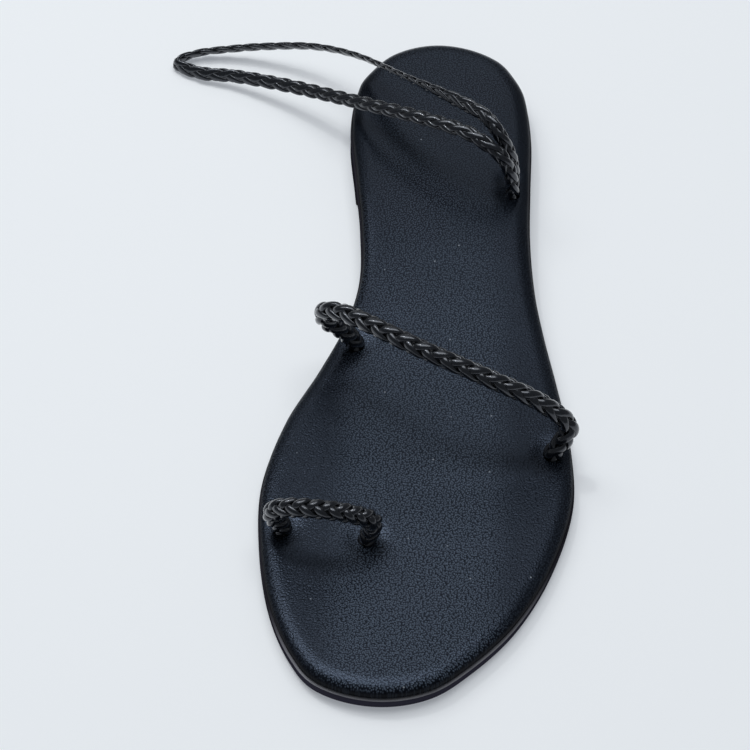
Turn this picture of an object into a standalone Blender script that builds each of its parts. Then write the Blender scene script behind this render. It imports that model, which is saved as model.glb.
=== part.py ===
"""A flat sandal for the left foot, built from its maker's pieces.

A leather-covered footbed lies on a rubber outsole that has a low heel. Three lengths of
braided leather cord come up through holes punched in the footbed: a loop for the big toe,
a strap across the forefoot and a long slack loop for the ankle.

Lengths are in metres. +Z is up, the toe points to -Y and the outer side of the foot is at +X.
The origin is on the floor, under the middle of the heel's tread.
"""

import math
from collections import namedtuple

import bmesh
import bpy
from mathutils import Matrix, Vector

MM = 0.001

# Driving dimensions of the sole
LENGTH = 250 * MM
BALL_WIDTH = 88.8 * MM
HEEL_BACK = 33.8 * MM  # from the origin to the back of the heel
HEEL_LIFT = 4.5 * MM  # how much higher the heel's seat lies than the forefoot's
TOE_SPRING = 1.5 * MM
OUTSOLE_THICKNESS = 3.5 * MM
FOOTBED_THICKNESS = 4.5 * MM
FOOTBED_SETBACK = 0.6 * MM  # the outsole's lip shows this far outside the footbed
GAP = 0.3 * MM  # clearance between pieces that meet

# Where the sole changes along its length, from the back of the heel
BREAST_BACK = 64 * MM  # lower edge of the heel's front face
BREAST_FRONT = 66.5 * MM  # upper edge of that face
SLOPE_START = 60 * MM  # the seat starts to fall from the heel
SLOPE_END = 144 * MM  # and is level from here to the toe spring
SPRING_START = 198 * MM
SIDE_STATIONS = 34  # steps along each side of the outline, closer together at heel and toe

# The sole's sections: station as a share of the length from the back of the heel, and the
# distance from the long axis to each edge as a share of the ball width
Section = namedtuple("Section", "station lateral medial")
TOE_TIP = -0.107  # the outline's foremost point lies on the big toe's side of the axis
SOLE_SECTIONS = (
    Section(station=0.000, lateral=0.000, medial=0.000),
    Section(station=0.024, lateral=0.200, medial=0.189),
    Section(station=0.056, lateral=0.267, medial=0.262),
    Section(station=0.088, lateral=0.304, medial=0.305),
    Section(station=0.160, lateral=0.329, medial=0.320),
    Section(station=0.248, lateral=0.330, medial=0.288),
    Section(station=0.328, lateral=0.333, medial=0.258),
    Section(station=0.408, lateral=0.354, medial=0.247),
    Section(station=0.480, lateral=0.392, medial=0.286),
    Section(station=0.552, lateral=0.438, medial=0.360),
    Section(station=0.632, lateral=0.481, medial=0.454),
    Section(station=0.720, lateral=0.492, medial=0.508),
    Section(station=0.808, lateral=0.431, medial=0.495),
    Section(station=0.888, lateral=0.325, medial=0.448),
    Section(station=0.952, lateral=0.179, medial=0.367),
    Section(station=0.984, lateral=0.071, medial=0.286),
    Section(station=1.000, lateral=TOE_TIP, medial=-TOE_TIP),
)

# The profile of each sole piece's edge, from its underside to its top: how far the edge stands
# in from the outline, and its height above the piece's underside or below its top
EdgeStep = namedtuple("EdgeStep", "inset above_base below_top")
OUTSOLE_EDGE = (
    EdgeStep(inset=1.0 * MM, above_base=0.0, below_top=None),
    EdgeStep(inset=0.15 * MM, above_base=0.9 * MM, below_top=None),
    EdgeStep(inset=0.15 * MM, above_base=None, below_top=1.1 * MM),
    EdgeStep(inset=0.0, above_base=None, below_top=0.8 * MM),
    EdgeStep(inset=0.0, above_base=None, below_top=0.3 * MM),
    EdgeStep(inset=0.3 * MM, above_base=None, below_top=0.0),
)
FOOTBED_EDGE = (
    EdgeStep(inset=0.5 * MM, above_base=0.0, below_top=None),
    EdgeStep(inset=0.0, above_base=0.6 * MM, below_top=None),
    EdgeStep(inset=0.0, above_base=None, below_top=2.4 * MM),
    EdgeStep(inset=0.7 * MM, above_base=None, below_top=1.2 * MM),
    EdgeStep(inset=2.5 * MM, above_base=None, below_top=0.3 * MM),
    EdgeStep(inset=5.2 * MM, above_base=None, below_top=0.0),
)

# The braided cord: four strips wind each way, each over two others and then under two, so that
# rows of slanting strips run along the cord. Heights are shares of the cord's radius
STRIPS_EACH_WAY = 4
BRAID_CORE = 0.72  # height of what shows between the strips
STRIP_DIP = 0.2  # how much lower a strip lies where it passes under others
STRIP_SPAN = math.radians(44)  # half of the angle that one strip covers
CORD_SIDES = 12
RINGS_PER_PITCH = 16
HOLE_SIDES = 20

# The straps: the cord's radius, the length in which a strip winds once round it, the holes at its
# ends, as places on the footbed, and its route between them, all in millimetres. A press says how a
# strap is flattened at a share of its length: its thickness as a share of the round cord's, and the
# way that its flat side looks
Hole = namedtuple("Hole", "x y")
Press = namedtuple("Press", "along thickness looks")
Strap = namedtuple("Strap", "name radius pitch start end route braid_turn presses")
TOE_LOOP = Strap(
    name="toe_loop",
    radius=2.9,
    pitch=15.2,
    start=Hole(x=-37.8, y=-163.4),
    end=Hole(x=-14.0, y=-165.2),
    route=(
        (-40.4, -165.2, 16.5),
        (-38.6, -167.0, 21.5),
        (-33.8, -168.4, 24.4),
        (-28.5, -169.0, 25.2),
        (-23.5, -169.0, 24.9),
        (-17.6, -168.0, 22.4),
        (-12.8, -166.6, 18.0),
    ),
    braid_turn=math.radians(45),
    presses=(),
)
INSTEP_STRAP = Strap(
    name="instep_strap",
    radius=2.9,
    pitch=21.8,
    start=Hole(x=-21.6, y=-95.0),
    end=Hole(x=37.2, y=-131.2),
    route=(
        (-25.8, -98.0, 18.0),
        (-30.2, -100.4, 24.5),
        (-30.6, -102.4, 30.5),
        (-26.0, -106.2, 35.0),
        (-19.0, -111.0, 37.2),
        (-3.5, -120.0, 38.0),
        (15.5, -125.8, 34.2),
        (33.5, -127.8, 25.5),
        (41.0, -129.0, 18.0),
    ),
    braid_turn=math.radians(20),
    presses=(),
)
ANKLE_LOOP = Strap(
    name="ankle_loop",
    radius=2.35,
    pitch=23.2,
    start=Hole(x=23.4, y=-33.4),
    end=Hole(x=23.4, y=-28.2),
    route=(
        (21.8, -33.5, 22.0),
        (18.6, -32.6, 27.8),
        (13.6, -30.4, 30.6),
        (7.5, -27.0, 31.5),
        (-5.4, -19.3, 28.6),
        (-19.5, -9.9, 23.0),
        (-35.8, 2.4, 15.0),
        (-50.0, 11.4, 9.4),
        (-67.8, 18.8, 5.0),
        (-80.0, 21.4, 3.1),
        (-87.6, 25.8, 2.7),
        (-82.0, 30.4, 2.8),
        (-70.0, 32.2, 4.4),
        (-57.6, 31.2, 7.5),
        (-43.0, 27.2, 12.4),
        (-28.1, 17.2, 19.0),
        (-9.6, -2.7, 28.5),
        (8.0, -17.8, 33.6),
        (13.4, -22.2, 33.9),
        (17.0, -26.0, 32.0),
        (20.0, -27.6, 27.4),
        (22.2, -28.0, 21.5),
    ),
    braid_turn=math.radians(45),
    presses=(
        Press(along=0.00, thickness=1.00, looks=(0.0, -1.0, 0.0)),
        Press(along=0.04, thickness=1.00, looks=(0.0, -1.0, 0.2)),
        Press(along=0.12, thickness=0.60, looks=(0.0, -0.6, 0.8)),
        Press(along=0.30, thickness=0.50, looks=(0.0, -0.6, 0.8)),
        Press(along=0.42, thickness=0.50, looks=(-0.3, -0.8, 0.5)),
        Press(along=0.48, thickness=0.50, looks=(-1.0, 0.0, 0.2)),
        Press(along=0.55, thickness=0.50, looks=(0.0, 0.8, 0.5)),
        Press(along=0.70, thickness=0.43, looks=(0.4, 0.7, 0.6)),
        Press(along=0.77, thickness=0.43, looks=(0.4, 0.7, 0.5)),
        Press(along=0.83, thickness=0.50, looks=(0.3, 0.9, 0.0)),
        Press(along=0.88, thickness=0.60, looks=(0.1, 0.8, -0.5)),
        Press(along=0.96, thickness=1.00, looks=(0.0, 1.0, 0.0)),
        Press(along=1.00, thickness=1.00, looks=(0.0, 1.0, 0.0)),
    ),
)
STRAPS = (TOE_LOOP, INSTEP_STRAP, ANKLE_LOOP)

# Finishes: base colour, roughness
LEATHER_BLACK = ("footbed_leather", (0.016, 0.018, 0.023), 0.48)
RUBBER_BLACK = ("outsole_rubber", (0.018, 0.018, 0.020), 0.62)
CORD_BLACK = ("braided_cord_leather", (0.010, 0.010, 0.012), 0.36)


def clear_scene():
    """Remove what the startup file holds."""
    for obj in list(bpy.data.objects):
        bpy.data.objects.remove(obj, do_unlink=True)


def new_collection(name):
    """A collection linked to the scene."""
    collection = bpy.data.collections.new(name)
    bpy.context.scene.collection.children.link(collection)
    return collection


def make_material(name, colour, roughness):
    """A plain Principled finish."""
    material = bpy.data.materials.new(name)
    material.use_nodes = True
    shader = material.node_tree.nodes["Principled BSDF"]
    shader.inputs["Base Color"].default_value = (*colour, 1.0)
    shader.inputs["Roughness"].default_value = roughness
    shader.inputs["Metallic"].default_value = 0.0
    return material


def ease(share):
    """0 to 1 with level ends."""
    share = min(1.0, max(0.0, share))
    return share * share * (3 - 2 * share)


def hermite(known, values, at):
    """A smooth curve through (known, values), read at one place."""
    last = len(known) - 1
    i = min(max(sum(k <= at for k in known) - 1, 0), last - 1)

    def slope(j):
        low, high = max(j - 1, 0), min(j + 1, last)
        return (values[high] - values[low]) / (known[high] - known[low])

    width = known[i + 1] - known[i]
    t = (at - known[i]) / width
    return (
        (1 + 2 * t) * (1 - t) ** 2 * values[i]
        + t * (1 - t) ** 2 * width * slope(i)
        + t * t * (3 - 2 * t) * values[i + 1]
        - t * t * (1 - t) * width * slope(i + 1)
    )


# The sole's outline and heights


def turn_of_station(share):
    """Places along a side are counted by this turn, from 0 to 1, so that both ends come out round."""
    return math.acos(1 - 2 * share) / math.pi


def side_turns():
    """The turns at which the outline has points, with two at the heel's front face."""
    breast = [turn_of_station(s / LENGTH) for s in (BREAST_BACK, BREAST_FRONT)]
    clear = 0.4 / SIDE_STATIONS
    even = [k / SIDE_STATIONS for k in range(SIDE_STATIONS + 1)]
    return sorted(breast + [t for t in even if min(abs(t - b) for b in breast) > clear])


def outline():
    """The outsole's edge from above, from the heel along the outer side to the toe and back."""
    known = [turn_of_station(s.station) for s in SOLE_SECTIONS]
    lateral = [s.lateral * BALL_WIDTH for s in SOLE_SECTIONS]
    medial = [-s.medial * BALL_WIDTH for s in SOLE_SECTIONS]
    turns = side_turns()

    def point(side, turn):
        station = LENGTH * (1 - math.cos(math.pi * turn)) / 2
        return Vector((hermite(known, side, turn), HEEL_BACK - station))

    outer = [point(lateral, turn) for turn in turns]
    inner = [point(medial, turn) for turn in turns[1:-1]]
    return outer + inner[::-1]


def inset_outline(points, inset):
    """The outline moved in by a distance, square to itself."""
    moved = []
    for i, point in enumerate(points):
        along = (points[(i + 1) % len(points)] - points[i - 1]).normalized()
        moved.append(point + inset * Vector((along.y, -along.x)))
    return moved


def seat_height(y):
    """Height of the outsole's top, where the footbed lies."""
    station = HEEL_BACK - y
    fall = ease((station - SLOPE_START) / (SLOPE_END - SLOPE_START))
    spring = max(0.0, (station - SPRING_START) / (LENGTH - SPRING_START))
    return OUTSOLE_THICKNESS + HEEL_LIFT * (1 - fall) + TOE_SPRING * spring**2


def tread_height(y):
    """Height of the outsole's underside: the heel stands on the floor, the waist is clear of it."""
    on_heel = HEEL_BACK - y < (BREAST_BACK + BREAST_FRONT) / 2
    return 0.0 if on_heel else seat_height(y) - OUTSOLE_THICKNESS


def footbed_base(y):
    """Height of the footbed's underside."""
    return seat_height(y) + GAP


def footbed_top(y):
    """Height of the footbed's upper face."""
    return footbed_base(y) + FOOTBED_THICKNESS


# Solids made from rings of points


def sole_rings(edge, setback, base, top):
    """A ring of points for each step of a sole piece's edge."""
    start = inset_outline(outline(), setback)
    rings = []
    for step in edge:
        ring = []
        for p in inset_outline(start, step.inset):
            low = step.above_base is not None
            z = base(p.y) + step.above_base if low else top(p.y) - step.below_top
            ring.append(Vector((p.x, p.y, z)))
        rings.append(ring)
    return rings


def close_across(mesh, ring):
    """Close a sole ring with strips from its outer side to its inner side."""
    count = len(ring)
    half = count // 2
    mesh.faces.new((ring[0], ring[1], ring[-1]))
    for k in range(1, half - 1):
        mesh.faces.new((ring[k], ring[k + 1], ring[count - k - 1], ring[count - k]))
    mesh.faces.new((ring[half - 1], ring[half], ring[half + 1]))


def close_flat(mesh, ring):
    """Close a ring with one flat face."""
    mesh.faces.new(ring)


def solid_from_rings(name, rings, close, material, collection):
    """A closed solid whose skin runs through the rings in turn."""
    mesh = bmesh.new()
    loops = [[mesh.verts.new(p) for p in ring] for ring in rings]
    for low, high in zip(loops, loops[1:]):
        for i in range(len(low)):
            j = (i + 1) % len(low)
            mesh.faces.new((low[i], low[j], high[j], high[i]))
    close(mesh, loops[0])
    close(mesh, loops[-1])
    bmesh.ops.recalc_face_normals(mesh, faces=mesh.faces)
    data = bpy.data.meshes.new(name)
    mesh.to_mesh(data)
    mesh.free()
    data.shade_smooth()
    data.set_sharp_from_angle(angle=math.radians(40))
    data.materials.append(material)
    obj = bpy.data.objects.new(name, data)
    collection.objects.link(obj)
    return obj


# Braided cords


def smooth_route(points, spacing):
    """Evenly spaced points on a curve through the given ones."""
    ends = [2 * points[0] - points[1], *points, 2 * points[-1] - points[-2]]
    fine = []
    for a, b, c, d in zip(ends, ends[1:], ends[2:], ends[3:]):
        ta, tb, tc = (math.sqrt((q - p).length) for p, q in ((a, b), (b, c), (c, d)))
        out = (b - a) / ta - (c - a) / (ta + tb) + (c - b) / tb
        into = (c - b) / tb - (d - b) / (tb + tc) + (d - c) / tc
        steps = 24
        for k in range(steps):
            t = k / steps
            fine.append(
                (1 + 2 * t) * (1 - t) ** 2 * b
                + t * (1 - t) ** 2 * tb * out
                + t * t * (3 - 2 * t) * c
                - t * t * (1 - t) * tb * into
            )
    fine.append(points[-1])
    lengths = [0.0]
    for p, q in zip(fine, fine[1:]):
        lengths.append(lengths[-1] + (q - p).length)
    count = round(lengths[-1] / spacing)
    even, i = [], 0
    for k in range(count + 1):
        want = lengths[-1] * k / count
        while i < len(fine) - 2 and lengths[i + 1] < want:
            i += 1
        share = (want - lengths[i]) / (lengths[i + 1] - lengths[i])
        even.append(fine[i].lerp(fine[i + 1], share))
    return even


def strap_centreline(strap):
    """The cord's line from the bottom of one hole to the bottom of the other."""

    def in_hole(hole):
        x, y = hole.x * MM, hole.y * MM
        bottom = Vector((x, y, footbed_base(y)))
        mouth = Vector((x, y, footbed_top(y)))
        return [bottom, bottom.lerp(mouth, 0.5), mouth]

    over = [Vector(p) * MM for p in strap.route]
    points = in_hole(strap.start) + over + in_hole(strap.end)[::-1]
    return smooth_route(points, strap.pitch * MM / RINGS_PER_PITCH)


def braid_height(angle, wound):
    """The braid's outer radius, as a share of the cord's, at an angle round it and a turn along it."""
    height = BRAID_CORE
    apart = 2 * math.pi / STRIPS_EACH_WAY
    for way in (1, -1):
        for k in range(STRIPS_EACH_WAY):
            middle = way * wound + (k + 0.25) * apart
            aside = (angle - middle + math.pi) % (2 * math.pi) - math.pi
            if abs(aside) < STRIP_SPAN:
                under = (1 - way * math.cos(2 * middle)) / 2
                crown = math.sqrt(math.cos(aside / STRIP_SPAN * math.pi / 2))
                top = 1 - STRIP_DIP * under
                height = max(height, BRAID_CORE + (top - BRAID_CORE) * crown)
    return height


def flattened(presses, along, ahead, offset):
    """A place across the cord, drawn in to the cord's line where the strap is pressed flat."""
    if not presses:
        return offset
    known = [press.along for press in presses]
    thickness = hermite(known, [press.thickness for press in presses], along)
    looks = Vector([hermite(known, part, along) for part in zip(*(press.looks for press in presses))])
    thin = (looks - looks.dot(ahead) * ahead).normalized()
    return offset - (1 - thickness) * offset.dot(thin) * thin


def braid_rings(path, strap):
    """Rings of points across the cord, carried along its line without twisting."""
    radius = strap.radius * MM
    side = Vector((1, 0, 0))
    rings = []
    for i, centre in enumerate(path):
        ahead = (path[min(i + 1, len(path) - 1)] - path[max(i - 1, 0)]).normalized()
        side = (side - side.dot(ahead) * ahead).normalized()
        up = ahead.cross(side)
        wound = 2 * math.pi * i / RINGS_PER_PITCH
        ring = []
        for k in range(CORD_SIDES):
            angle = 2 * math.pi * k / CORD_SIDES
            turned = angle + strap.braid_turn
            out = math.cos(turned) * side + math.sin(turned) * up
            offset = radius * braid_height(angle, wound) * out
            along = i / (len(path) - 1)
            ring.append(centre + flattened(strap.presses, along, ahead, offset))
        rings.append(ring)
    return rings


# The pieces


def make_outsole(collection):
    """The rubber outsole with its low heel, raised waist and toe spring."""
    rings = sole_rings(OUTSOLE_EDGE, 0.0, tread_height, seat_height)
    material = make_material(*RUBBER_BLACK)
    return solid_from_rings("outsole", rings, close_across, material, collection)


def make_footbed(collection):
    """The padded, leather-covered footbed with its rolled edge."""
    rings = sole_rings(FOOTBED_EDGE, FOOTBED_SETBACK, footbed_base, footbed_top)
    material = make_material(*LEATHER_BLACK)
    return solid_from_rings("footbed", rings, close_across, material, collection)


def make_hole_cutter(name, holes, cord_radius, collection):
    """A round bar through the footbed, or a slot-shaped one where two holes run together."""
    radius = cord_radius * MM + GAP
    middle = sum((Vector((h.x, h.y)) for h in holes), Vector((0, 0))) / len(holes) * MM
    spread = abs(holes[0].y - holes[-1].y) / 2 * MM
    mesh = bmesh.new()
    bmesh.ops.create_cone(
        mesh,
        cap_ends=True,
        segments=HOLE_SIDES,
        radius1=radius,
        radius2=radius,
        depth=3 * FOOTBED_THICKNESS,
        matrix=Matrix.Rotation(math.pi / HOLE_SIDES, 4, "Z"),
    )
    for v in mesh.verts:
        v.co.y += math.copysign(spread, v.co.y)
    data = bpy.data.meshes.new(name)
    mesh.to_mesh(data)
    mesh.free()
    cutter = bpy.data.objects.new(name, data)
    cutter.location = (middle.x, middle.y, footbed_base(middle.y) + FOOTBED_THICKNESS / 2)
    cutter.display_type = "WIRE"
    cutter.hide_render = True
    collection.objects.link(cutter)
    return cutter


def punch_holes(footbed, collection):
    """Cut the holes that the cords come up through, and one slot for both ends of the ankle loop."""
    for strap in STRAPS:
        near = math.dist(strap.start, strap.end) < 4 * strap.radius
        groups = [(strap.start, strap.end)] if near else [(strap.start,), (strap.end,)]
        for holes in groups:
            name = f"{strap.name}_hole_{groups.index(holes) + 1}"
            cut = footbed.modifiers.new(name, "BOOLEAN")
            cut.operation = "DIFFERENCE"
            cut.solver = "EXACT"
            cut.object = make_hole_cutter(name, holes, strap.radius, collection)


def make_strap(strap, material, collection):
    """One braided cord, a single solid with its strips raised."""
    rings = braid_rings(strap_centreline(strap), strap)
    return solid_from_rings(strap.name, rings, close_flat, material, collection)


def main():
    """Build the sandal."""
    clear_scene()
    parts = new_collection("flat_sandal")
    cutters = new_collection("hole_cutters")
    make_outsole(parts)
    footbed = make_footbed(parts)
    punch_holes(footbed, cutters)
    cord_leather = make_material(*CORD_BLACK)
    for strap in STRAPS:
        make_strap(strap, cord_leather, parts)


main()
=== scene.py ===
"""The looks of a flat sandal for the left foot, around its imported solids.

Braided leather cords, a leather-covered footbed and a rubber outsole take the place of the plain
solids, on a pale floor in soft light. Lengths are in metres. The toe points to -Y, the outer side
of the foot is at +X and the floor is at z = 0.
"""

import math
from collections import namedtuple

import bmesh
import bpy
from mathutils import Matrix, Vector


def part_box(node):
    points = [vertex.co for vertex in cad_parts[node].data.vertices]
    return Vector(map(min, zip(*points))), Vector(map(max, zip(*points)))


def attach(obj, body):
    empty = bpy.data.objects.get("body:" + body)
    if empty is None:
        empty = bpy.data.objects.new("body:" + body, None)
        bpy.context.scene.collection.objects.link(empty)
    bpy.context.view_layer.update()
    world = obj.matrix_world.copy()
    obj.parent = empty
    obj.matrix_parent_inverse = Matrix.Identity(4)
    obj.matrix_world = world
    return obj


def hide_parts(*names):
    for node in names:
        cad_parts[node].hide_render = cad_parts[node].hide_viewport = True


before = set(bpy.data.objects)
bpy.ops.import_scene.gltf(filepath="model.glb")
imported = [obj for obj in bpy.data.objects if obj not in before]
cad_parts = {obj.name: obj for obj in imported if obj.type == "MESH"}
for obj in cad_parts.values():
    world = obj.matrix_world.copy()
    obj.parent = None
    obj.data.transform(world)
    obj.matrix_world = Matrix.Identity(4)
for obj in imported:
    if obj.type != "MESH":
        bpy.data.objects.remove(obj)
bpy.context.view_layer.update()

MM = 0.001

# The sole's sizes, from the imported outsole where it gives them
outsole_low, outsole_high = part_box("outsole")
LENGTH = outsole_high.y - outsole_low.y
HEEL_BACK = outsole_high.y
BALL_WIDTH = 88.8 * MM
HEEL_LIFT = 4.5 * MM
TOE_SPRING = 1.5 * MM
OUTSOLE_THICKNESS = 3.5 * MM
FOOTBED_THICKNESS = 4.5 * MM
FOOTBED_SETBACK = 0.6 * MM  # the outsole's lip shows this far outside the footbed
ROLL_WIDTH = 5.2 * MM  # the footbed's rolled edge
ROLL_DROP = 2.4 * MM
ROLL_STEPS = 12
# The rolled edge is painted dull black, as shade, to the first share below and turns satin over the
# second
ROLL_DULL = 0.1  # the edge is dull to this share of the roll
ROLL_DULL_FADE = 0.3  # and turns satin over this share
TUCK = 0.5 * MM  # the footbed's underside is tucked in by this much
TUCK_HEIGHT = 0.6 * MM
GAP = 0.3 * MM  # clearance between pieces that meet
SIDE_INSET = 0.15 * MM  # the outsole's side lies this far in, under its lip
LIP_ROUND = 0.3 * MM
TREAD_INSET = 1.0 * MM  # the tread's rounded edge
TREAD_ROUND = 0.9 * MM
ROUND_STEPS = 3
BREAST_BACK = 64 * MM  # lower edge of the heel's front face, from the back of the heel
BREAST_FRONT = 66.5 * MM  # upper edge of that face
SLOPE_START = 60 * MM  # the seat starts to fall from the heel
SLOPE_END = 144 * MM  # and is level from here to the toe spring
SPRING_START = 198 * MM
SIDE_STATIONS = 200  # steps along each side of the outline, closer together at heel and toe
ROWS_ACROSS = 78  # rows of vertices between the two sides of the footbed's face
SEAM_MERGE = 0.001 * MM  # vertices closer than this are one
HOLE_MERGE = 0.005 * MM  # and closer than this where holes are punched

# The sole's sections: station as a share of the length from the back of the heel, and the
# distance from the long axis to each edge as a share of the ball width
Section = namedtuple("Section", "station lateral medial")
TOE_TIP = -0.107  # the outline's foremost point lies on the big toe's side of the axis
SOLE_SECTIONS = (
    Section(station=0.000, lateral=0.000, medial=0.000),
    Section(station=0.024, lateral=0.200, medial=0.189),
    Section(station=0.056, lateral=0.267, medial=0.262),
    Section(station=0.088, lateral=0.304, medial=0.305),
    Section(station=0.160, lateral=0.329, medial=0.320),
    Section(station=0.248, lateral=0.330, medial=0.288),
    Section(station=0.328, lateral=0.333, medial=0.258),
    Section(station=0.408, lateral=0.354, medial=0.247),
    Section(station=0.480, lateral=0.392, medial=0.286),
    Section(station=0.552, lateral=0.438, medial=0.360),
    Section(station=0.632, lateral=0.481, medial=0.454),
    Section(station=0.720, lateral=0.492, medial=0.508),
    Section(station=0.808, lateral=0.431, medial=0.495),
    Section(station=0.888, lateral=0.325, medial=0.448),
    Section(station=0.952, lateral=0.179, medial=0.367),
    Section(station=0.984, lateral=0.071, medial=0.286),
    Section(station=1.000, lateral=TOE_TIP, medial=-TOE_TIP),
)

# Where the outsole's side grows out into its lip, in millimetres: how far in, and how far below the top
LipStep = namedtuple("LipStep", "inset below")
LIP_STEPS = (
    LipStep(inset=0.15, below=1.15),
    LipStep(inset=0.02, below=0.95),
    LipStep(inset=0.0, below=0.8),
)

# The straps: the cord's radius, the length in which a strip winds once round it, the holes at its
# ends, as places on the footbed, and its route between them, all in millimetres. A press says how a
# strap is flattened at a share of its length: its thickness as a share of the round cord's, and the
# way that its flat side looks
Hole = namedtuple("Hole", "x y")
Press = namedtuple("Press", "along thickness looks")
Strap = namedtuple("Strap", "name radius pitch start end route braid_turn presses")
TOE_LOOP = Strap(
    name="toe_loop",
    radius=2.9,
    pitch=15.2,
    start=Hole(x=-37.8, y=-163.4),
    end=Hole(x=-14.0, y=-165.2),
    route=(
        (-40.4, -165.2, 16.5),
        (-38.6, -167.0, 21.5),
        (-33.8, -168.4, 24.4),
        (-28.5, -169.0, 25.2),
        (-23.5, -169.0, 24.9),
        (-17.6, -168.0, 22.4),
        (-12.8, -166.6, 18.0),
    ),
    braid_turn=math.radians(45),
    presses=(),
)
INSTEP_STRAP = Strap(
    name="instep_strap",
    radius=2.9,
    pitch=21.8,
    start=Hole(x=-21.6, y=-95.0),
    end=Hole(x=37.2, y=-131.2),
    route=(
        (-25.8, -98.0, 18.0),
        (-30.2, -100.4, 24.5),
        (-30.6, -102.4, 30.5),
        (-26.0, -106.2, 35.0),
        (-19.0, -111.0, 37.2),
        (-3.5, -120.0, 38.0),
        (15.5, -125.8, 34.2),
        (33.5, -127.8, 25.5),
        (41.0, -129.0, 18.0),
    ),
    braid_turn=math.radians(40),
    presses=(),
)
ANKLE_LOOP = Strap(
    name="ankle_loop",
    radius=2.35,
    pitch=23.2,
    start=Hole(x=23.4, y=-33.4),
    end=Hole(x=23.4, y=-28.2),
    route=(
        (21.8, -33.5, 22.0),
        (18.6, -32.6, 27.8),
        (13.6, -30.4, 30.6),
        (7.5, -27.0, 31.5),
        (-5.4, -19.3, 28.6),
        (-19.5, -9.9, 23.0),
        (-35.8, 2.4, 15.0),
        (-50.0, 11.4, 9.4),
        (-67.8, 18.8, 5.0),
        (-80.0, 21.4, 3.1),
        (-87.6, 25.8, 2.7),
        (-82.0, 30.4, 2.8),
        (-70.0, 32.2, 4.4),
        (-57.6, 31.2, 7.5),
        (-43.0, 27.2, 12.4),
        (-28.1, 17.2, 19.0),
        (-9.6, -2.7, 28.5),
        (8.0, -17.8, 33.6),
        (13.4, -22.2, 33.9),
        (17.0, -26.0, 32.0),
        (20.0, -27.6, 27.4),
        (22.2, -28.0, 21.5),
    ),
    braid_turn=math.radians(45),
    presses=(
        Press(along=0.00, thickness=1.00, looks=(0.0, -1.0, 0.0)),
        Press(along=0.04, thickness=1.00, looks=(0.0, -1.0, 0.2)),
        Press(along=0.12, thickness=0.60, looks=(0.0, -0.6, 0.8)),
        Press(along=0.30, thickness=0.50, looks=(0.0, -0.6, 0.8)),
        Press(along=0.42, thickness=0.50, looks=(-0.3, -0.8, 0.5)),
        Press(along=0.48, thickness=0.50, looks=(-1.0, 0.0, 0.2)),
        Press(along=0.55, thickness=0.50, looks=(0.0, 0.8, 0.5)),
        Press(along=0.70, thickness=0.43, looks=(0.4, 0.7, 0.6)),
        Press(along=0.77, thickness=0.43, looks=(0.4, 0.7, 0.5)),
        Press(along=0.83, thickness=0.50, looks=(0.3, 0.9, 0.0)),
        Press(along=0.88, thickness=0.60, looks=(0.1, 0.8, -0.5)),
        Press(along=0.96, thickness=1.00, looks=(0.0, 1.0, 0.0)),
        Press(along=1.00, thickness=1.00, looks=(0.0, 1.0, 0.0)),
    ),
)
STRAPS = (TOE_LOOP, INSTEP_STRAP, ANKLE_LOOP)

# A braid: four strips wind each way, each over two others and then under two. Heights are in shares
# of the cord's radius
STRIPS_EACH_WAY = 4
STRIP_THICKNESS = 0.60
STRIP_WEAVE = 0.20  # how far a strip moves in and out as it passes over and under the others
STRIP_COVER = 0.88  # a strip's width as a share of the room between its neighbours
STRIP_SIDES = 16
STRIP_STEPS = 12  # rings along a quarter of a turn
WEAVE_SHARPNESS = 2  # how quickly a strip changes from over to under
REPEAT_MERGE = 0.002 * MM  # joins a braid's repeats
ROUTE_SPACING = 1 * MM  # between the points of a strap's line
ROUTE_STEPS = 24  # fine steps between two given points of it

# Soft troughs in the footbed's face, in millimetres: from one place to another, how wide and deep
Crease = namedtuple("Crease", "x0 y0 x1 y1 width depth")
CREASES = (
    Crease(x0=-33, y0=-112, x1=-12, y1=-108, width=2.2, depth=0.16),
    Crease(x0=-28, y0=-118, x1=-6, y1=-113, width=2.6, depth=0.12),
    Crease(x0=-16, y0=-84, x1=-4, y1=-88, width=2.0, depth=0.12),
    Crease(x0=-21, y0=-103, x1=-9, y1=-100, width=1.2, depth=0.14),
    Crease(x0=-24, y0=-107, x1=-12, y1=-104, width=1.4, depth=0.12),
    Crease(x0=-30, y0=-134, x1=30, y1=-128, width=6.0, depth=0.14),
    Crease(x0=-32, y0=-150, x1=36, y1=-146, width=7.0, depth=0.12),
    Crease(x0=-14, y0=-62, x1=24, y1=-66, width=6.0, depth=0.12),
)
CREASE_END = 0.08  # a crease's depth follows half a wave, cut short by this share at each end
HOLE_SIDES = 48  # corners round a hole
HOLE_GRIP = 0.95  # a hole's radius as a share of the cord's, so that the leather hugs the cord
HOLE_DIP = 0.7 * MM  # how far the leather is drawn down at the cords
HOLE_DIP_SPREAD = 2.6 * MM

# The camera, from the photo: its place, the point it looks at and the level direction of its picture
CAMERA_PLACE = Vector((-9.1, -573.7, 571.2)) * MM
CAMERA_AIM = Vector((-15.1, -107.8, 10.0)) * MM
PICTURE_LEVEL = Vector((0.9965, 0.084, 0.0))
CAMERA_LENS = 120
CAMERA_SENSOR = 36

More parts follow.
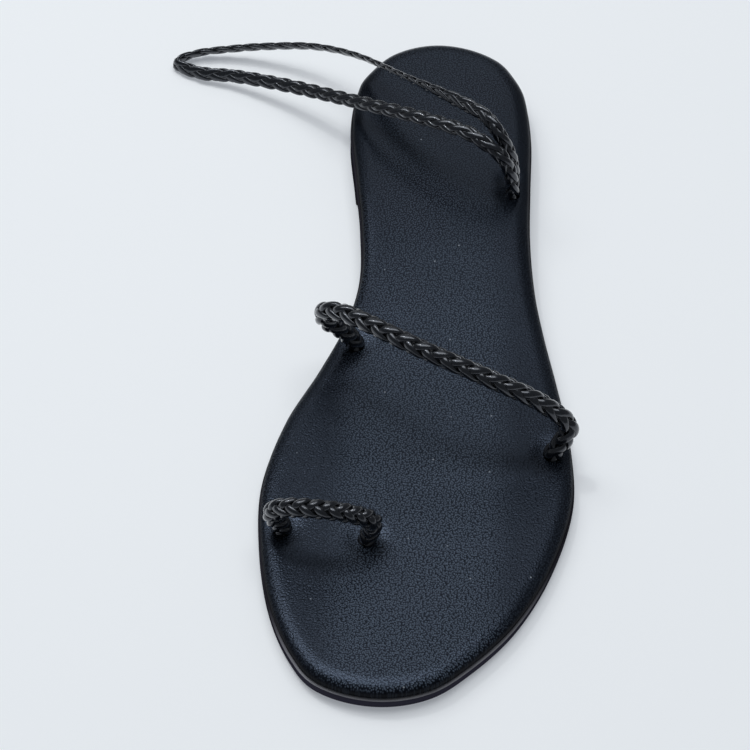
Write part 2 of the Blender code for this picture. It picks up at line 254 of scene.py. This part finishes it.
# The floor and the light, in metres and watts
FLOOR_SIZE = 8
Softbox = namedtuple("Softbox", "name place width height power")
SOFTBOXES = (
    Softbox(name="overhead", place=(-0.05, 0.08, 1.5), width=1.2, height=0.9, power=11),
    Softbox(name="left", place=(-0.85, 0.45, 1.4), width=0.7, height=0.7, power=5),
    Softbox(name="lamp", place=(-0.48, 0.34, 1.4), width=0.1, height=0.1, power=2),
    Softbox(name="panel", place=(-0.15, 1.20, 1.33), width=0.9, height=0.8, power=1.4),
)
LIGHT_AIM = (0, -0.1, 0)
LIGHT_COLOUR = (0.96, 0.99, 1.0)
SURROUND_COLOUR = (0.93, 0.98, 1.03, 1.0)
SURROUND_STRENGTH = 0.18


def ease(share):
    """0 to 1 with level ends."""
    share = min(1.0, max(0.0, share))
    return share * share * (3 - 2 * share)


def hermite(known, values, at):
    """A smooth curve through (known, values), read at one place."""
    last = len(known) - 1
    i = min(max(sum(k <= at for k in known) - 1, 0), last - 1)

    def slope(j):
        low, high = max(j - 1, 0), min(j + 1, last)
        return (values[high] - values[low]) / (known[high] - known[low])

    width = known[i + 1] - known[i]
    t = (at - known[i]) / width
    return (
        (1 + 2 * t) * (1 - t) ** 2 * values[i]
        + t * (1 - t) ** 2 * width * slope(i)
        + t * t * (3 - 2 * t) * values[i + 1]
        - t * t * (1 - t) * width * slope(i + 1)
    )


# The sole's outline and heights


def turn_of_station(share):
    """Places along a side are counted by this turn, from 0 to 1, so that both ends come out round."""
    return math.acos(1 - 2 * share) / math.pi


def outline():
    """The outsole's edge from above, from the heel along the outer side to the toe and back."""
    known = [turn_of_station(s.station) for s in SOLE_SECTIONS]
    lateral = [s.lateral * BALL_WIDTH for s in SOLE_SECTIONS]
    medial = [-s.medial * BALL_WIDTH for s in SOLE_SECTIONS]
    breast = [turn_of_station(s / LENGTH) for s in (BREAST_BACK, BREAST_FRONT)]
    clear = 0.4 / SIDE_STATIONS
    even = [k / SIDE_STATIONS for k in range(SIDE_STATIONS + 1)]
    turns = sorted(breast + [t for t in even if min(abs(t - b) for b in breast) > clear])

    def point(side, turn):
        station = LENGTH * (1 - math.cos(math.pi * turn)) / 2
        return Vector((hermite(known, side, turn), HEEL_BACK - station))

    outer = [point(lateral, turn) for turn in turns]
    inner = [point(medial, turn) for turn in turns[1:-1]]
    return outer + inner[::-1]


def inset_outline(points, inset):
    """The outline moved in by a distance, square to itself."""
    moved = []
    for i, point in enumerate(points):
        along = (points[(i + 1) % len(points)] - points[i - 1]).normalized()
        moved.append(point + inset * Vector((along.y, -along.x)))
    return moved


def seat_height(y):
    """Height of the outsole's top, where the footbed lies."""
    station = HEEL_BACK - y
    fall = ease((station - SLOPE_START) / (SLOPE_END - SLOPE_START))
    spring = max(0.0, (station - SPRING_START) / (LENGTH - SPRING_START))
    return OUTSOLE_THICKNESS + HEEL_LIFT * (1 - fall) + TOE_SPRING * spring**2


def tread_height(y):
    """Height of the outsole's underside: the heel stands on the floor, the waist is clear of it."""
    on_heel = HEEL_BACK - y < (BREAST_BACK + BREAST_FRONT) / 2
    return 0.0 if on_heel else seat_height(y) - OUTSOLE_THICKNESS


def footbed_base(y):
    """Height of the footbed's underside."""
    return seat_height(y) + GAP


def footbed_top(y):
    """Height of the footbed's upper face, before its creases."""
    return footbed_base(y) + FOOTBED_THICKNESS


# Modelling helpers


def begin_piece(name):
    """Name the primitive that was just added and open it in edit mode."""
    piece = bpy.context.object
    piece.name = name
    piece.data.name = name
    bpy.ops.object.mode_set(mode="EDIT")
    return piece


def pick(piece):
    """Select one piece and nothing else."""
    bpy.ops.object.select_all(action="DESELECT")
    bpy.context.view_layer.objects.active = piece
    piece.select_set(True)


def apply_modifier(piece, kind, **settings):
    """Add a modifier, set it and apply it."""
    pick(piece)
    modifier = piece.modifiers.new(kind.title(), kind)
    for name, value in settings.items():
        setattr(modifier, name, value)
    bpy.ops.object.modifier_apply(modifier=modifier.name)


def close_holes(piece, merge):
    """Merge doubled vertices, close what is still open and turn the faces outwards."""
    pick(piece)
    bpy.ops.object.mode_set(mode="EDIT")
    bpy.ops.mesh.select_all(action="SELECT")
    bpy.ops.mesh.remove_doubles(threshold=merge)
    bpy.ops.mesh.fill_holes(sides=0)
    bpy.ops.mesh.normals_make_consistent(inside=False)
    bpy.ops.object.mode_set(mode="OBJECT")


def shade(piece, angle):
    """Smooth shading, with edges sharper than the angle left crisp."""
    pick(piece)
    bpy.ops.object.shade_smooth_by_angle(angle=angle)


def finish_piece(piece, node, material):
    """Dress a piece and let it stand for its CAD node."""
    piece.data.materials.clear()
    piece.data.materials.append(material)
    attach(piece, "root")
    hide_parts(node)


# The sole's pieces, extruded ring by ring from their outline

EdgeStep = namedtuple("EdgeStep", "inset above_base below_top")


def rounded(inset_from, inset_to, height_from, height_to, steps, low):
    """Edge steps along a quarter of an ellipse that starts upright or ends level."""
    made = []
    for k in range(steps + 1):
        angle = math.pi / 2 * k / steps
        if low:
            inset = inset_from + (inset_to - inset_from) * math.sin(angle)
            height = height_from + (height_to - height_from) * (1 - math.cos(angle))
            made.append(EdgeStep(inset=inset, above_base=height, below_top=None))
        else:
            inset = inset_from + (inset_to - inset_from) * (1 - math.cos(angle))
            height = height_from + (height_to - height_from) * math.sin(angle)
            made.append(EdgeStep(inset=inset, above_base=None, below_top=height))
    return made


def edge_ring(points, step, base, top):
    """One ring of a sole piece's edge."""
    ring = []
    for p in inset_outline(points, step.inset):
        low = step.above_base is not None
        z = base(p.y) + step.above_base if low else top(p.y) - step.below_top
        ring.append(Vector((p.x, p.y, z)))
    return ring


def extrude_rings(name, rings):
    """A skin drawn out from a circle of vertices through one ring of points after another."""
    bpy.ops.object.select_all(action="DESELECT")
    bpy.ops.mesh.primitive_circle_add(vertices=len(rings[0]), radius=1)
    piece = begin_piece(name)
    mesh = bmesh.from_edit_mesh(piece.data)
    number = mesh.verts.layers.int.new("number")
    step = mesh.verts.layers.int.new("step")
    for i, v in enumerate(mesh.verts):
        v[number] = i
    for k, ring in enumerate(rings):
        if k:
            bpy.ops.mesh.extrude_edges_move()
            mesh = bmesh.from_edit_mesh(piece.data)
            number = mesh.verts.layers.int["number"]
            step = mesh.verts.layers.int["step"]
        for v in mesh.verts:
            if v.select:
                v.co = ring[v[number]]
                v[step] = k
        bmesh.update_edit_mesh(piece.data)
    return piece


def bridge_across(piece, step, toe, rows):
    """Bridge a ring's outer side to its inner side, leaving out the heel's and the toe's point."""
    mesh = bmesh.from_edit_mesh(piece.data)
    number = mesh.verts.layers.int["number"]
    steps = mesh.verts.layers.int["step"]
    for v in mesh.verts:
        v.select = v[steps] == step and v[number] not in (0, toe)
    mesh.select_flush_mode()
    bmesh.update_edit_mesh(piece.data)
    bpy.ops.mesh.bridge_edge_loops(number_cuts=rows, interpolation="LINEAR")


def extrude_sole(name, setback, edge, base, top, rows):
    """A sole piece: its outline extruded through the steps of its edge and bridged across."""
    points = inset_outline(outline(), setback)
    toe = len(points) // 2
    piece = extrude_rings(name, [edge_ring(points, step, base, top) for step in edge])
    bridge_across(piece, len(edge) - 1, toe, rows)
    bridge_across(piece, 0, toe, 0)
    bpy.ops.object.mode_set(mode="OBJECT")
    return piece


def mark_steps(piece, name, shares):
    """A number from 0 to 1 for each step of a sole piece's edge, kept for its finish."""
    mark = piece.data.attributes.new(name, "FLOAT", "POINT")
    for value, step in zip(mark.data, piece.data.attributes["step"].data):
        value.value = shares[step.value]


def model_outsole():
    """The rubber outsole: lip, upright side, low heel, raised waist and toe spring."""
    edge = rounded(TREAD_INSET, SIDE_INSET, 0.0, TREAD_ROUND, ROUND_STEPS, low=True)
    for step in LIP_STEPS:
        edge.append(EdgeStep(inset=step.inset * MM, above_base=None, below_top=step.below * MM))
    edge += rounded(0.0, LIP_ROUND, LIP_ROUND, 0.0, ROUND_STEPS, low=False)
    piece = extrude_sole("sole_rubber", 0.0, edge, tread_height, seat_height, 0)
    steps = range(len(edge))
    mark_steps(piece, "lip", [float(k >= len(edge) - 2) for k in steps])
    mark_steps(piece, "tread", [float(k < 2) for k in steps])
    close_holes(piece, SEAM_MERGE)
    shade(piece, math.radians(35))
    return piece


def all_holes():
    """The groups of holes in the footbed, with the radius of the cord that each holds."""
    groups = []
    for strap in STRAPS:
        near = math.dist(strap.start, strap.end) < 4 * strap.radius
        pairs = [(strap.start, strap.end)] if near else [(strap.start,), (strap.end,)]
        groups += [(holes, strap.radius * MM) for holes in pairs]
    return groups


def face_relief(x, y):
    """How far the footbed's face lies above or below its plain height."""
    height = 0.0
    for crease in CREASES:
        a = Vector((crease.x0, crease.y0)) * MM
        b = Vector((crease.x1, crease.y1)) * MM
        share = max(0.0, min(1.0, (Vector((x, y)) - a).dot(b - a) / (b - a).length_squared))
        away = (Vector((x, y)) - a.lerp(b, share)).length / (crease.width * MM)
        fade = math.sin(math.pi * (CREASE_END + (1 - 2 * CREASE_END) * share))
        height -= crease.depth * MM * fade * math.exp(-away * away)
    for holes, radius in all_holes():
        near = min(math.dist((x, y), (h.x * MM, h.y * MM)) for h in holes)
        past = max(0.0, near - radius) / HOLE_DIP_SPREAD
        height -= HOLE_DIP * math.exp(-past * past)
    return height


def punch_hole(piece, holes, radius):
    """Cut one round hole, or a slot where two cords share it."""
    middle = sum((Vector((h.x, h.y)) for h in holes), Vector((0, 0))) / len(holes) * MM
    spread = abs(holes[0].y - holes[-1].y) / 2 * MM
    bpy.ops.object.select_all(action="DESELECT")
    bpy.ops.mesh.primitive_cylinder_add(
        vertices=HOLE_SIDES,
        radius=radius * HOLE_GRIP,
        depth=4 * FOOTBED_THICKNESS,
        location=(middle.x, middle.y, footbed_base(middle.y)),
        rotation=(0, 0, math.pi / HOLE_SIDES),
    )
    cutter = begin_piece("hole_cutter")
    mesh = bmesh.from_edit_mesh(cutter.data)
    for v in mesh.verts:
        v.co.y += math.copysign(spread, v.co.y)
    bmesh.update_edit_mesh(cutter.data)
    bpy.ops.object.mode_set(mode="OBJECT")
    apply_modifier(piece, "BOOLEAN", operation="DIFFERENCE", solver="EXACT", object=cutter)
    bpy.data.objects.remove(cutter, do_unlink=True)


def model_footbed():
    """The leather-covered footbed: tucked underside, rolled edge, soft creases and the cords' holes."""
    wall = rounded(TUCK, 0.0, 0.0, TUCK_HEIGHT, ROUND_STEPS, low=True)
    edge = wall + rounded(0.0, ROLL_WIDTH, ROLL_DROP, 0.0, ROLL_STEPS, low=False)
    piece = extrude_sole(
        "footbed_cover", FOOTBED_SETBACK, edge, footbed_base, footbed_top, ROWS_ACROSS
    )
    up_roll = [max(0, k - len(wall)) / ROLL_STEPS for k in range(len(edge))]
    # The wall mark says where the rolled edge is painted dull black as shade
    mark_steps(piece, "wall", [1 - ease((up - ROLL_DULL) / ROLL_DULL_FADE) for up in up_roll])
    for v, step in zip(piece.data.vertices, piece.data.attributes["step"].data):
        if step.value == len(edge) - 1:
            v.co.z = footbed_top(v.co.y)
        v.co.z += up_roll[step.value] * face_relief(v.co.x, v.co.y)
    close_holes(piece, SEAM_MERGE)
    apply_modifier(piece, "TRIANGULATE")
    for holes, radius in all_holes():
        punch_hole(piece, holes, radius)
    close_holes(piece, HOLE_MERGE)
    shade(piece, math.radians(50))
    return piece


# The braided straps


def smooth_route(points, spacing):
    """Evenly spaced points on a curve through the given ones."""
    ends = [2 * points[0] - points[1], *points, 2 * points[-1] - points[-2]]
    fine = []
    for a, b, c, d in zip(ends, ends[1:], ends[2:], ends[3:]):
        ta, tb, tc = (math.sqrt((q - p).length) for p, q in ((a, b), (b, c), (c, d)))
        out = (b - a) / ta - (c - a) / (ta + tb) + (c - b) / tb
        into = (c - b) / tb - (d - b) / (tb + tc) + (d - c) / tc
        for k in range(ROUTE_STEPS):
            t = k / ROUTE_STEPS
            fine.append(
                (1 + 2 * t) * (1 - t) ** 2 * b
                + t * (1 - t) ** 2 * tb * out
                + t * t * (3 - 2 * t) * c
                - t * t * (1 - t) * tb * into
            )
    fine.append(points[-1])
    lengths = [0.0]
    for p, q in zip(fine, fine[1:]):
        lengths.append(lengths[-1] + (q - p).length)
    count = round(lengths[-1] / spacing)
    even, i = [], 0
    for k in range(count + 1):
        want = lengths[-1] * k / count
        while i < len(fine) - 2 and lengths[i + 1] < want:
            i += 1
        share = (want - lengths[i]) / (lengths[i + 1] - lengths[i])
        even.append(fine[i].lerp(fine[i + 1], share))
    return even


def strap_centreline(strap):
    """The cord's line from the bottom of one hole to the bottom of the other."""

    def in_hole(hole):
        x, y = hole.x * MM, hole.y * MM
        bottom = Vector((x, y, footbed_base(y)))
        mouth = Vector((x, y, footbed_top(y)))
        return [bottom, bottom.lerp(mouth, 0.5), mouth]

    over = [Vector(p) * MM for p in strap.route]
    points = in_hole(strap.start) + over + in_hole(strap.end)[::-1]
    return smooth_route(points, ROUTE_SPACING)


def strip_rings(radius, pitch, way, begin):
    """Rings across one strip, for its share of a turn round the cord along +X.

    The strip lies over the strips that wind the other way, then under them, twice in a turn.
    """
    middle = radius * (1 - STRIP_WEAVE - STRIP_THICKNESS / 2)
    lean = math.atan2(2 * math.pi * (middle + STRIP_WEAVE * radius), pitch)
    half_width = STRIP_COVER * pitch / STRIPS_EACH_WAY / 2 * math.sin(lean)
    half_thickness = radius * STRIP_THICKNESS / 2

    def centre(turn):
        angle = begin + way * turn
        over = math.tanh(WEAVE_SHARPNESS * way * math.cos(2 * angle)) / math.tanh(WEAVE_SHARPNESS)
        away = middle + STRIP_WEAVE * radius * over
        return Vector((pitch * turn / (2 * math.pi), away * math.cos(angle), away * math.sin(angle)))

    rings = []
    for k in range(STRIP_STEPS + 1):
        turn = 2 * math.pi / STRIPS_EACH_WAY * k / STRIP_STEPS
        here = centre(turn)
        ahead = (centre(turn + 0.01) - centre(turn - 0.01)).normalized()
        out = Vector((0, here.y, here.z)).normalized()
        across = ahead.cross(out).normalized()
        out = across.cross(ahead)
        ring = []
        for j in range(STRIP_SIDES):
            angle = 2 * math.pi * j / STRIP_SIDES
            aside = half_width * math.cos(angle) * across
            ring.append(here + aside + half_thickness * math.sin(angle) * out)
        rings.append(ring)
    return rings


def braid_unit(name, radius, pitch, turn):
    """The stretch of a braid that repeats, along +X from the origin, turned about the cord's line."""
    strips = []
    apart = 2 * math.pi / STRIPS_EACH_WAY
    for way in (1, -1):
        for k in range(STRIPS_EACH_WAY):
            begin = k * apart + apart / 4
            strips.append(extrude_rings(name, strip_rings(radius, pitch, way, begin)))
            bpy.ops.object.mode_set(mode="OBJECT")
    bpy.ops.object.select_all(action="DESELECT")
    for strip in strips:
        strip.select_set(True)
    bpy.context.view_layer.objects.active = strips[0]
    bpy.ops.object.join()
    strips[0].data.transform(Matrix.Rotation(turn, 4, "X"))
    return strips[0]


def route_curve(path):
    """The strap's line as a curve for the braid to follow."""
    data = bpy.data.curves.new("strap_route", "CURVE")
    data.dimensions = "3D"
    data.twist_mode = "MINIMUM"
    spline = data.splines.new("POLY")
    spline.points.add(len(path) - 1)
    for point, place in zip(spline.points, path):
        point.co = (*place, 1.0)
    curve = bpy.data.objects.new("strap_route", data)
    bpy.context.scene.collection.objects.link(curve)
    return curve


def press_flat(braid, alongs, path, presses):
    """Draw the braid in to the strap's line where the strap is flattened."""
    known = [press.along for press in presses]
    thicknesses = [press.thickness for press in presses]
    looks_parts = list(zip(*(press.looks for press in presses)))
    last = len(path) - 1
    for v, along in zip(braid.data.vertices, alongs):
        along = min(1.0, max(0.0, along))
        i = min(int(along * last), last - 1)
        centre = path[i].lerp(path[i + 1], along * last - i)
        ahead = (path[min(i + 2, last)] - path[max(i - 1, 0)]).normalized()
        thickness = hermite(known, thicknesses, along)
        looks = Vector([hermite(known, part, along) for part in looks_parts])
        thin = (looks - looks.dot(ahead) * ahead).normalized()
        v.co -= (1 - thickness) * (v.co - centre).dot(thin) * thin


def model_strap(strap):
    """One braided strap: a stretch of its braid, repeated and laid along the strap's line."""
    path = strap_centreline(strap)
    length = sum((q - p).length for p, q in zip(path, path[1:]))
    repeats = round(length / (strap.pitch * MM) * STRIPS_EACH_WAY)
    repeat = length / repeats
    radius = strap.radius * MM
    pitch = repeat * STRIPS_EACH_WAY
    braid = braid_unit(strap.name + "_braid", radius, pitch, strap.braid_turn)
    apply_modifier(
        braid,
        "ARRAY",
        count=repeats,
        use_relative_offset=False,
        use_constant_offset=True,
        constant_offset_displace=(repeat, 0, 0),
        use_merge_vertices=True,
        merge_threshold=REPEAT_MERGE,
    )
    height = braid.data.attributes.new("strip_height", "FLOAT", "POINT")
    for v, value in zip(braid.data.vertices, height.data):
        value.value = math.hypot(v.co.y, v.co.z) / radius
    alongs = [v.co.x / length for v in braid.data.vertices]
    curve = route_curve(path)
    apply_modifier(braid, "CURVE", object=curve, deform_axis="POS_X")
    bpy.data.objects.remove(curve, do_unlink=True)
    if strap.presses:
        press_flat(braid, alongs, path, strap.presses)
    close_holes(braid, SEAM_MERGE)
    shade(braid, math.radians(80))
    return braid


# Finishes


class Tap:
    """One output of a material's nodes. Arithmetic on it adds Math nodes."""

    def __init__(self, tree, socket=None):
        self.tree = tree
        self.socket = socket

    def node(self, kind, settings=None, inputs=None, output=0):
        """Add a node: its settings come first, then the values or links of its sockets."""
        made = self.tree.nodes.new(kind)
        for name, value in (settings or {}).items():
            setattr(made, name, value)
        for name, value in (inputs or {}).items():
            self.feed(made.inputs[name], value)
        return Tap(self.tree, made.outputs[output])

    def feed(self, socket, value):
        """Link another tap to a socket, or set the socket's own value."""
        if isinstance(value, Tap):
            self.tree.links.new(value.socket, socket)
        else:
            socket.default_value = value

    def math(self, operation, *values):
        """One Math node."""
        return self.node("ShaderNodeMath", {"operation": operation}, dict(enumerate(values)))

    def __add__(self, other):
        return self.math("ADD", self, other)

    __radd__ = __add__

    def __sub__(self, other):
        return self.math("SUBTRACT", self, other)

    def __rsub__(self, other):
        return self.math("SUBTRACT", other, self)

    def __mul__(self, other):
        return self.math("MULTIPLY", self, other)

    __rmul__ = __mul__

    def between(self, low, high):
        """0 below one value and 1 above another, with a soft change."""
        settings = {"interpolation_type": "SMOOTHSTEP"}
        inputs = {"Value": self, "From Min": low, "From Max": high}
        return self.node("ShaderNodeMapRange", settings, inputs)

    def mix(self, first, second):
        """A colour between two, with this as the share of the second."""
        settings = {"data_type": "RGBA"}
        inputs = {"Factor": self, 6: rgba(first), 7: rgba(second)}
        return self.node("ShaderNodeMix", settings, inputs, output=2)

    def axis(self, name):
        """One coordinate of this vector."""
        return self.node("ShaderNodeSeparateXYZ", {}, {0: self}, output=name)

    def noise(self, scale, detail):
        """Soft noise on this vector."""
        inputs = {"Vector": self, "Scale": scale, "Detail": detail}
        return self.node("ShaderNodeTexNoise", {}, inputs, output="Fac")

    def cells(self, scale, dimensions):
        """The distance from the middle of a cell, in a field of cells on this vector."""
        settings = {"voronoi_dimensions": dimensions}
        inputs = {"Vector": self, "Scale": scale}
        return self.node("ShaderNodeTexVoronoi", settings, inputs, output="Distance")

    def mark(self, name):
        """A number that the mesh keeps for each vertex."""
        return self.node("ShaderNodeAttribute", {"attribute_name": name}, output="Fac")

    def bump(self, strength, distance):
        """The normal of a surface with this as its height."""
        inputs = {"Height": self, "Strength": strength, "Distance": distance}
        return self.node("ShaderNodeBump", {}, inputs)


def rgba(colour):
    """A colour with its alpha, or a tap as it is."""
    return colour if isinstance(colour, Tap) else (*colour, 1.0)


def new_finish(name, **constants):
    """A material, its Principled shader with plain values set, and a tap on Object coordinates."""
    material = bpy.data.materials.new(name)
    material.use_nodes = True
    shader = material.node_tree.nodes["Principled BSDF"]
    for socket, value in constants.items():
        shader.inputs[socket.replace("_", " ")].default_value = value
    place = Tap(material.node_tree).node("ShaderNodeTexCoord", output="Object")
    return material, shader, place


def footbed_leather():
    """Blue-black satin leather, fine pebble grain with painted glints and sheen, dull and dark down its
    rolled edge as painted shade.
    """
    tint = (0.57, 0.71, 1.0, 1.0)
    hollow = (0.001, 0.0015, 0.003)
    crest = (0.058, 0.074, 0.10)
    dust_grey = (0.20, 0.22, 0.25)
    edge_black = (0.003, 0.003, 0.004, 1.0)
    material, shader, place = new_finish(
        "footbed_leather", Specular_Tint=tint, Specular_IOR_Level=0.33
    )
    pebbles = place.cells(1650, "2D")
    specks = place.noise(2200, detail=0)
    broad = place.noise(28, detail=3)
    dust = 1 - place.cells(150, "3D").between(0.03, 0.05)
    along = place.axis("Y")
    aside = place.axis("X")
    # The grain fades towards the heel. Its pale dots are painted glints, palest along the middle and
    # dimmer towards the heel as painted sheen
    painted_sheen = 1 - along.between(-0.13, -0.01) * 0.7
    middle = 1.65 - (aside * aside).between(0.0001, 0.0008) * 1.35
    dots = (1 - pebbles.between(0.05, 0.5)) * painted_sheen * middle
    tone = (broad - 0.5) * 0.1 + dots
    colour = dust.mix(tone.mix(hollow, crest), dust_grey)
    grain = (specks - pebbles * pebbles) * painted_sheen
    place.feed(shader.inputs["Base Color"], colour)
    place.feed(shader.inputs["Roughness"], 0.26 + painted_sheen * 0.02 + (broad - 0.5) * 0.10)
    place.feed(shader.inputs["Normal"], grain.bump(0.5, 0.12 * MM))
    # Painted shade: down the rolled edge the leather gives way to dull black
    dull = place.node("ShaderNodeBsdfDiffuse", {}, {"Color": edge_black})
    cover = Tap(place.tree, shader.outputs["BSDF"])
    edged = place.node("ShaderNodeMixShader", {}, {0: place.mark("wall") * 0.85, 1: cover, 2: dull})
    place.feed(material.node_tree.nodes["Material Output"].inputs["Surface"], edged)
    return material


def cord_leather():
    """Near-black smooth leather strips, glossy where they stand out, with painted shade darkening them
    down between one another.
    """
    material, shader, place = new_finish(
        "cord_leather",
        Specular_Tint=(0.72, 0.80, 1.0, 1.0),
        Specular_IOR_Level=0.4,
        Coat_Weight=0.8,
        Coat_Roughness=0.14,
    )
    crown = place.mark("strip_height").between(0.55, 0.95)
    grain = place.noise(2600, detail=3)
    # Painted shade: the strips are darkest where they dip under one another
    colour = crown.mix((0.001, 0.001, 0.001), (0.002, 0.0025, 0.004))
    place.feed(shader.inputs["Base Color"], colour)
    place.feed(shader.inputs["Roughness"], 0.30 - crown * 0.04 + (grain - 0.5) * 0.15)
    place.feed(shader.inputs["Normal"], grain.bump(0.25, 0.08 * MM))
    return material


def sole_rubber():
    """Dull black rubber, paler at the toe as painted light, with a painted highlight along the lip
    there and brownish along the tread.
    """
    black = (0.009, 0.008, 0.012)
    toe_black = (0.036, 0.034, 0.050)
    lip_grey = (0.32, 0.32, 0.35)
    tread_brown = (0.045, 0.036, 0.02)
    material, shader, place = new_finish("sole_rubber", Specular_IOR_Level=0.0)
    grain = place.noise(1800, detail=4)
    broad = place.noise(60, detail=2)
    along = place.axis("Y")
    aside = place.axis("X")
    # Painted light: the rubber's side is paler towards the toe
    front = 1 - (along - aside * 0.25).between(-0.205, -0.175)
    side = (front * 0.7 + broad * 0.5).mix(black, toe_black)
    # Painted highlight: the lip is pale grey, most at the toe
    painted_sheen = (place.mark("lip") * (0.05 + front) * (0.4 + broad)).mix(side, lip_grey)
    # Brownish along the tread's rounded edge
    colour = (place.mark("tread") * (0.4 + broad)).mix(painted_sheen, tread_brown)
    place.feed(shader.inputs["Base Color"], colour)
    place.feed(shader.inputs["Roughness"], 0.6 + (grain - 0.5) * 0.2)
    place.feed(shader.inputs["Normal"], grain.bump(0.2, 0.08 * MM))
    return material


def floor_paint():
    """Pale paint that glows a little, so that the shadows on it stay faint."""
    glow = (0.90, 0.96, 1.055, 1.0)
    material, shader, place = new_finish(
        "floor_paint", Roughness=0.75, Emission_Color=glow, Emission_Strength=0.26
    )
    colour = place.noise(5, detail=3).mix((0.67, 0.675, 0.68), (0.69, 0.695, 0.70))
    place.feed(shader.inputs["Base Color"], colour)
    return material


# Floor, light and camera


def lay_floor():
    """A wide pale floor."""
    bpy.ops.object.select_all(action="DESELECT")
    bpy.ops.mesh.primitive_plane_add(size=FLOOR_SIZE)
    floor = bpy.context.object
    floor.name = "floor"
    floor.data.materials.append(floor_paint())


def add_softbox(softbox):
    """A soft area light, turned to the sandal."""
    data = bpy.data.lights.new(softbox.name, "AREA")
    data.shape = "RECTANGLE"
    data.size = softbox.width
    data.size_y = softbox.height
    data.energy = softbox.power
    data.color = LIGHT_COLOUR
    light = bpy.data.objects.new(softbox.name, data)
    light.location = softbox.place
    ahead = Vector(LIGHT_AIM) - Vector(softbox.place)
    light.rotation_euler = ahead.to_track_quat("-Z", "Y").to_euler()
    bpy.context.scene.collection.objects.link(light)


def set_light():
    """A dim surround, a softbox overhead and one at the left, a small lamp and a weak panel behind."""
    for softbox in SOFTBOXES:
        add_softbox(softbox)
    world = bpy.data.worlds.new("surround")
    world.use_nodes = True
    background = world.node_tree.nodes["Background"]
    background.inputs["Color"].default_value = SURROUND_COLOUR
    background.inputs["Strength"].default_value = SURROUND_STRENGTH
    bpy.context.scene.world = world
    bpy.context.scene.view_settings.view_transform = "Standard"


def place_camera():
    """The photo's camera, turned to the sandal."""
    data = bpy.data.cameras.new("camera")
    data.sensor_width = CAMERA_SENSOR
    data.lens = CAMERA_LENS
    data.clip_start = 0.01
    camera = bpy.data.objects.new("camera", data)
    ahead = (CAMERA_AIM - CAMERA_PLACE).normalized()
    right = (PICTURE_LEVEL - PICTURE_LEVEL.dot(ahead) * ahead).normalized()
    up = right.cross(ahead)
    turned = Matrix((right, up, -ahead)).transposed().to_4x4()
    camera.matrix_world = Matrix.Translation(CAMERA_PLACE) @ turned
    bpy.context.scene.collection.objects.link(camera)
    bpy.context.scene.camera = camera


finish_piece(model_outsole(), "outsole", sole_rubber())
finish_piece(model_footbed(), "footbed", footbed_leather())
cord_finish = cord_leather()
for strap in STRAPS:
    finish_piece(model_strap(strap), strap.name, cord_finish)
lay_floor()
set_light()
place_camera()
